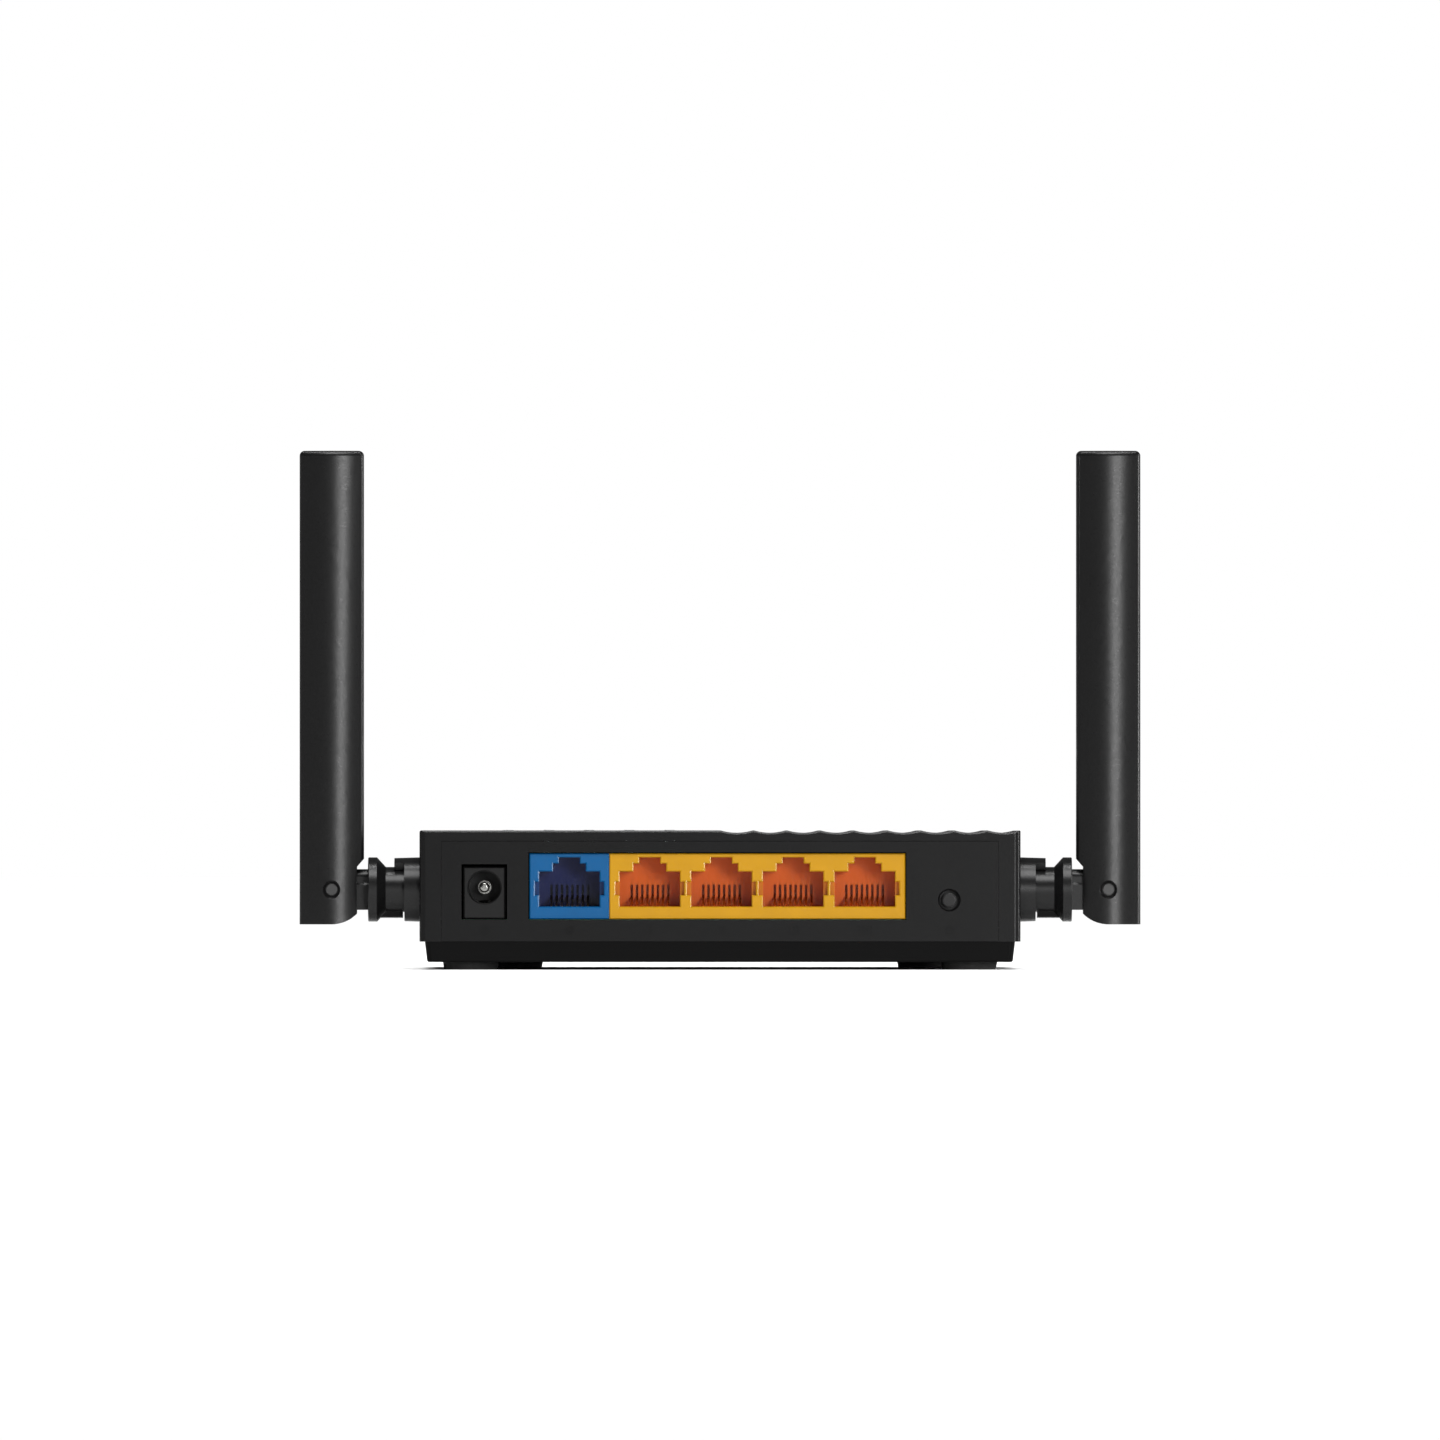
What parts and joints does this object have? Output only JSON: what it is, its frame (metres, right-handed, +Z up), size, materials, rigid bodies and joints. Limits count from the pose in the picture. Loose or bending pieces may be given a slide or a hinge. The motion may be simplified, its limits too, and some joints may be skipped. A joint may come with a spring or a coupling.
{
  "type": "wireless router",
  "caption": "Compact flat wireless router with fluted top, blue and yellow network sockets, barrel power socket, reset button and folding side antennas.",
  "frame": {"origin": "centre of the footprint on the surface that the feet stand on", "axes": "+X to the right seen from behind, -Y out of the connector side, +Z up"},
  "size_m": [0.1642, 0.1105, 0.1013],
  "materials": {
    "case_plastic": "fine-grained matt charcoal ABS",
    "base_plastic": "fine-grained matt near-black ABS",
    "panel_plastic": "fine-grained matt charcoal ABS",
    "label_film": "blank satin film",
    "screw_steel": "black-zinc plated steel",
    "board_laminate": "green solder mask",
    "jack_black": "moulded black PBT",
    "jack_blue": "moulded blue PBT",
    "jack_yellow": "moulded yellow PBT",
    "contact_gold": "gold-flashed phosphor bronze",
    "contact_nickel": "bright nickel plate",
    "button_plastic": "moulded dark grey ABS",
    "chip_epoxy": "moulded epoxy",
    "sink_aluminium": "extruded, clear anodised",
    "capacitor_sleeve": "shrink sleeve on aluminium cans",
    "shield_steel": "tinned sheet steel",
    "led_resin": "clear resin on a white body",
    "clear_plastic": "clear moulded acrylic",
    "foot_rubber": "matt moulded rubber",
    "antenna_plastic": "satin black moulded plastic",
    "spring_steel": "spring steel",
    "hinge_pin_steel": "blackened steel",
    "radiator_laminate": "printed strip with copper tracks",
    "coax_sleeve": "thin fluoropolymer sleeve"
  },
  "bodies": {
    "case": {"top_cover": "case_plastic", "bottom_cover": "base_plastic", "rear_panel": "panel_plastic", "rating_label": "label_film", "case_screws": "screw_steel", "pcb_screws": "screw_steel", "circuit_board": "board_laminate", "dc_jack_housing": "jack_black", "dc_jack_center_pin": "contact_nickel", "dc_jack_spring": "contact_nickel", "wan_jack_housing": "jack_blue", "wan_jack_contacts": "contact_gold", "lan_jack_housing": "jack_yellow", "lan_jack_contacts": "contact_gold", "reset_switch_body": "jack_black", "reset_switch_dome": "contact_nickel", "processor_chip": "chip_epoxy", "heat_sink": "sink_aluminium", "memory_chip": "chip_epoxy", "flash_chip": "chip_epoxy", "wan_transformer": "chip_epoxy", "lan_transformers": "chip_epoxy", "filter_capacitors": "capacitor_sleeve", "power_inductor": "chip_epoxy", "clock_crystal": "shield_steel", "rf_shield_can": "shield_steel", "status_leds": "led_resin", "light_pipe": "clear_plastic", "rubber_foot_rear_left": "foot_rubber", "rubber_foot_rear_right": "foot_rubber", "rubber_foot_front_left": "foot_rubber", "rubber_foot_front_right": "foot_rubber", "right_antenna_socket": "antenna_plastic", "right_friction_washer": "spring_steel", "right_coax_in_case": "coax_sleeve", "right_coax_connector": "contact_gold", "left_antenna_socket": "antenna_plastic", "left_friction_washer": "spring_steel", "left_coax_in_case": "coax_sleeve", "left_coax_connector": "contact_gold"},
    "left_swivel": {"left_swivel_knuckle": "antenna_plastic", "left_retaining_ring": "spring_steel", "left_coax_in_knuckle": "coax_sleeve"},
    "left_blade": {"left_antenna_blade": "antenna_plastic", "left_hinge_pins": "hinge_pin_steel", "left_antenna_radiator": "radiator_laminate", "left_coax_in_blade": "coax_sleeve"},
    "right_swivel": {"right_swivel_knuckle": "antenna_plastic", "right_retaining_ring": "spring_steel", "right_coax_in_knuckle": "coax_sleeve"},
    "right_blade": {"right_antenna_blade": "antenna_plastic", "right_hinge_pins": "hinge_pin_steel", "right_antenna_radiator": "radiator_laminate", "right_coax_in_blade": "coax_sleeve"},
    "button": {"reset_button": "button_plastic"}
  },
  "joints": [
    {"name": "left_antenna_swivel", "type": "hinge", "parent": "case", "child": "left_swivel", "pos_m": [-0.07, -0.046, 0.01565], "axis": [1, 0, 0], "range_deg": [-90, 90]},
    {"name": "left_antenna_tilt", "type": "hinge", "parent": "left_swivel", "child": "left_blade", "pos_m": [-0.0758, -0.046, 0.01565], "axis": [0, -1, 0], "range_deg": [0, 90]},
    {"name": "right_antenna_swivel", "type": "hinge", "parent": "case", "child": "right_swivel", "pos_m": [0.07, -0.046, 0.01565], "axis": [1, 0, 0], "range_deg": [-90, 90]},
    {"name": "right_antenna_tilt", "type": "hinge", "parent": "right_swivel", "child": "right_blade", "pos_m": [0.0758, -0.046, 0.01565], "axis": [0, 1, 0], "range_deg": [0, 90]},
    {"name": "reset_button_press", "type": "slide", "parent": "case", "child": "button", "axis": [0, 1, 0], "range_m": [0, 0.0005], "stiffness_N_per_m": 1500, "springref_m": -0.0004}
  ]
}
